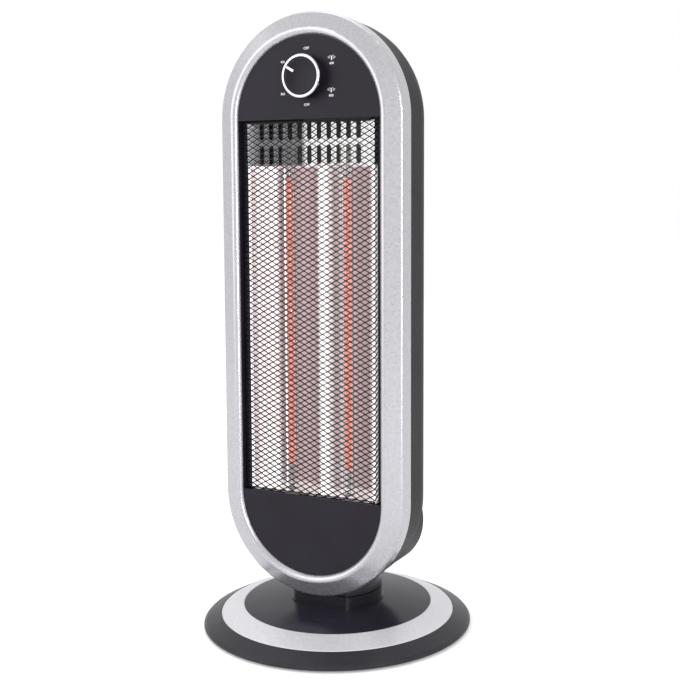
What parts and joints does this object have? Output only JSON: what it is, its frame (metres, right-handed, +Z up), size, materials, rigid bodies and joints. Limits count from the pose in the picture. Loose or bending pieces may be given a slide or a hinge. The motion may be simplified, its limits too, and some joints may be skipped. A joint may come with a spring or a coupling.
{
  "type": "carbon heater",
  "caption": "Slim oval free-standing carbon heater with two quartz tubes, a polished reflector, a mesh guard and a rotary control, on a round base that swivels.",
  "frame": {"origin": "on the floor, at the centre of the round base, on the swivel axis", "axes": "+Z up; the heating window faces -Y; +X is to the right of someone who looks at the front"},
  "size_m": [0.27, 0.27, 0.6025],
  "materials": {
    "dish_black": "glossy black",
    "rim_grey": "satin charcoal",
    "ring_silver": "satin silver paint",
    "bezel_silver": "satin silver paint",
    "neck_black": "glossy black",
    "case_black": "fine-grained black",
    "panel_charcoal": "satin charcoal",
    "guard_black": "black enamel",
    "header_sheet": "dull sheet steel",
    "mirror_sheet": "polished",
    "steel_sheet": "galvanised",
    "steel_turned": "turned",
    "screw_steel": "zinc plated",
    "bronze": "sintered bronze",
    "ballast_iron": "as cast",
    "plate_steel": "black paint",
    "foot_rubber": "matt black",
    "gland_rubber": "matt black",
    "switch_plastic": "natural",
    "dark_plastic": "black",
    "white_plastic": "natural white",
    "spring_steel": "bright wire",
    "washer_plastic": "acetal",
    "motor_can": "plated can",
    "ceramic": "unglazed steatite",
    "quartz": "clear fused quartz",
    "carbon_glow": "glowing carbon weave",
    "knob_black": "glossy black",
    "knob_chrome": "bright chrome",
    "pointer_white": "white"
  },
  "bodies": {
    "base": {"base_plate": "plate_steel", "base_skirt": "rim_grey", "base_ring": "ring_silver", "base_dish": "dish_black", "ballast": "ballast_iron", "rubber_feet": "foot_rubber", "base_screws": "screw_steel", "cord_gland": "gland_rubber", "tip_switch": "dark_plastic", "plunger_spring": "spring_steel", "neck_collar": "neck_black", "swivel_post": "steel_turned", "post_screws": "screw_steel", "thrust_washer": "washer_plastic", "retaining_washer": "steel_turned", "retaining_clip": "spring_steel", "rocker_plate": "steel_sheet"},
    "head": {"neck_housing": "neck_black", "swivel_bush": "bronze", "motor_bracket": "steel_sheet", "oscillation_motor": "motor_can", "motor_screws": "screw_steel", "rear_shell": "case_black", "case_screws": "screw_steel", "front_panel": "panel_charcoal", "front_bezel": "bezel_silver", "mesh_guard": "guard_black", "header_plate": "header_sheet", "reflector": "mirror_sheet", "reflector_roof": "mirror_sheet", "reflector_floor": "mirror_sheet", "heat_shield": "steel_sheet", "tube_left": "quartz", "tube_right": "quartz", "filament_left": "carbon_glow", "filament_right": "carbon_glow", "tube_caps": "ceramic", "thermal_cutout": "dark_plastic", "terminal_block": "switch_plastic", "rotary_switch": "switch_plastic", "switch_nut": "steel_turned"},
    "knob": {"control_knob": "knob_black", "knob_ring": "knob_chrome", "knob_pointer": "pointer_white", "switch_shaft": "steel_turned"},
    "crank": {"crank": "white_plastic"},
    "plunger": {"tip_plunger": "white_plastic"}
  },
  "joints": [
    {"name": "head_swivel", "type": "hinge", "parent": "base", "child": "head", "pos_m": [0, 0, 0.0485], "axis": [0, 0, 1], "range_deg": [-35, 35]},
    {"name": "knob_turn", "type": "hinge", "parent": "head", "child": "knob", "pos_m": [0, -0.061, 0.5418], "axis": [0, -1, 0], "continuous": true},
    {"name": "crank_turn", "type": "hinge", "parent": "head", "child": "crank", "pos_m": [0, -0.022, 0.0735], "axis": [0, 0, 1], "range_deg": [-125, 125]},
    {"name": "plunger_slide", "type": "slide", "parent": "base", "child": "plunger", "axis": [0, 0, -1], "range_m": [0, 0.005], "stiffness_N_per_m": 100, "springref_m": 0.006, "deforming": ["plunger_spring"]}
  ],
  "couplings": [
    {"joint": "crank_turn", "follows": "head_swivel", "ratio": -3.5714}
  ]
}
